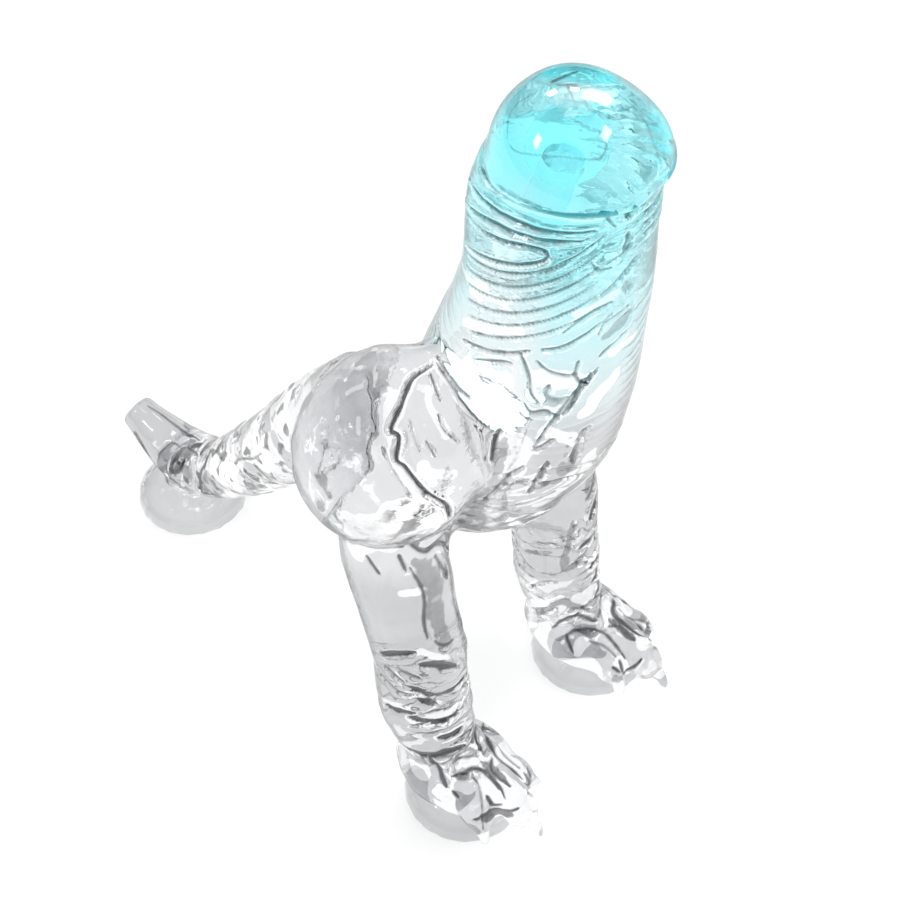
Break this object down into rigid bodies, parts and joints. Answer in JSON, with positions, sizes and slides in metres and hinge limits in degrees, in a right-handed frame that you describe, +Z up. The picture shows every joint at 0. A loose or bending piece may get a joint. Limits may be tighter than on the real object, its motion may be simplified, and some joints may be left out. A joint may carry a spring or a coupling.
{
  "type": "clear novelty table figure",
  "caption": "Clear soft figure with a round-headed column on clawed legs and a tail, each on a suction cup, and a battery light unit inside.",
  "frame": {"origin": "on the surface it stands on, under the middle of its overall box", "axes": "+Z up, -Y the way the figure faces, +Y towards the tail, +X to the figure's left"},
  "size_m": [0.0838, 0.1602, 0.2008],
  "materials": {
    "clear_elastomer": "clear soft elastomer, glossy, moulded with folds; lit cyan in the head",
    "clear_vinyl": "clear soft vinyl, smooth",
    "clear_acrylic": "clear polished acrylic",
    "frosted_acrylic": "frosted acrylic, glows cyan when lit",
    "white_plastic": "white moulded plastic, satin",
    "grey_rubber": "grey silicone rubber, matt",
    "black_plastic": "black plastic, satin",
    "circuit_board": "green solder mask",
    "nickel_plate": "bright nickel plate",
    "cell_steel": "bright steel can",
    "led_epoxy": "clear epoxy, glows cyan when lit"
  },
  "bodies": {
    "figure": {"column": "clear_elastomer", "haunches": "clear_elastomer", "right_leg": "clear_elastomer", "left_leg": "clear_elastomer", "tail": "clear_elastomer", "light_rod": "clear_acrylic", "light_diffuser": "frosted_acrylic"},
    "light_unit": {"barrel": "white_plastic", "light_window": "clear_acrylic", "led": "led_epoxy", "led_board": "circuit_board", "led_resistor": "black_plastic", "top_contact": "nickel_plate", "cell_1": "cell_steel", "cell_2": "cell_steel", "cell_3": "cell_steel"},
    "end_cap": {"end_cap": "white_plastic", "seal_ring": "grey_rubber", "battery_spring": "nickel_plate", "switch_body": "black_plastic"},
    "button": {"switch_button": "grey_rubber"},
    "right_foot_cup": {"right_foot_cup": "clear_vinyl"},
    "left_foot_cup": {"left_foot_cup": "clear_vinyl"},
    "tail_cup": {"tail_cup": "clear_vinyl"}
  },
  "joints": [
    {"name": "light_unit_slide", "type": "slide", "parent": "figure", "child": "light_unit", "axis": [0, 0.1959, -0.9806], "range_m": [0, 0.045]},
    {"name": "end_cap_turn", "type": "hinge", "parent": "light_unit", "child": "end_cap", "pos_m": [0, -0.03498, 0.077], "axis": [0, 0.1959, -0.9806], "range_deg": [0, 60]},
    {"name": "button_press", "type": "slide", "parent": "end_cap", "child": "button", "axis": [0, -0.1959, 0.9806], "range_m": [0, 0.0012], "stiffness_N_per_m": 400, "springref_m": -0.0005},
    {"name": "right_foot_cup_swivel", "type": "hinge", "parent": "figure", "child": "right_foot_cup", "pos_m": [-0.026, -0.05618, 0], "axis": [0, 0, 1], "continuous": true},
    {"name": "left_foot_cup_swivel", "type": "hinge", "parent": "figure", "child": "left_foot_cup", "pos_m": [0.026, -0.05618, 0], "axis": [0, 0, 1], "continuous": true},
    {"name": "tail_cup_swivel", "type": "hinge", "parent": "figure", "child": "tail_cup", "pos_m": [0, 0.05962, 0], "axis": [0, 0, 1], "continuous": true}
  ]
}
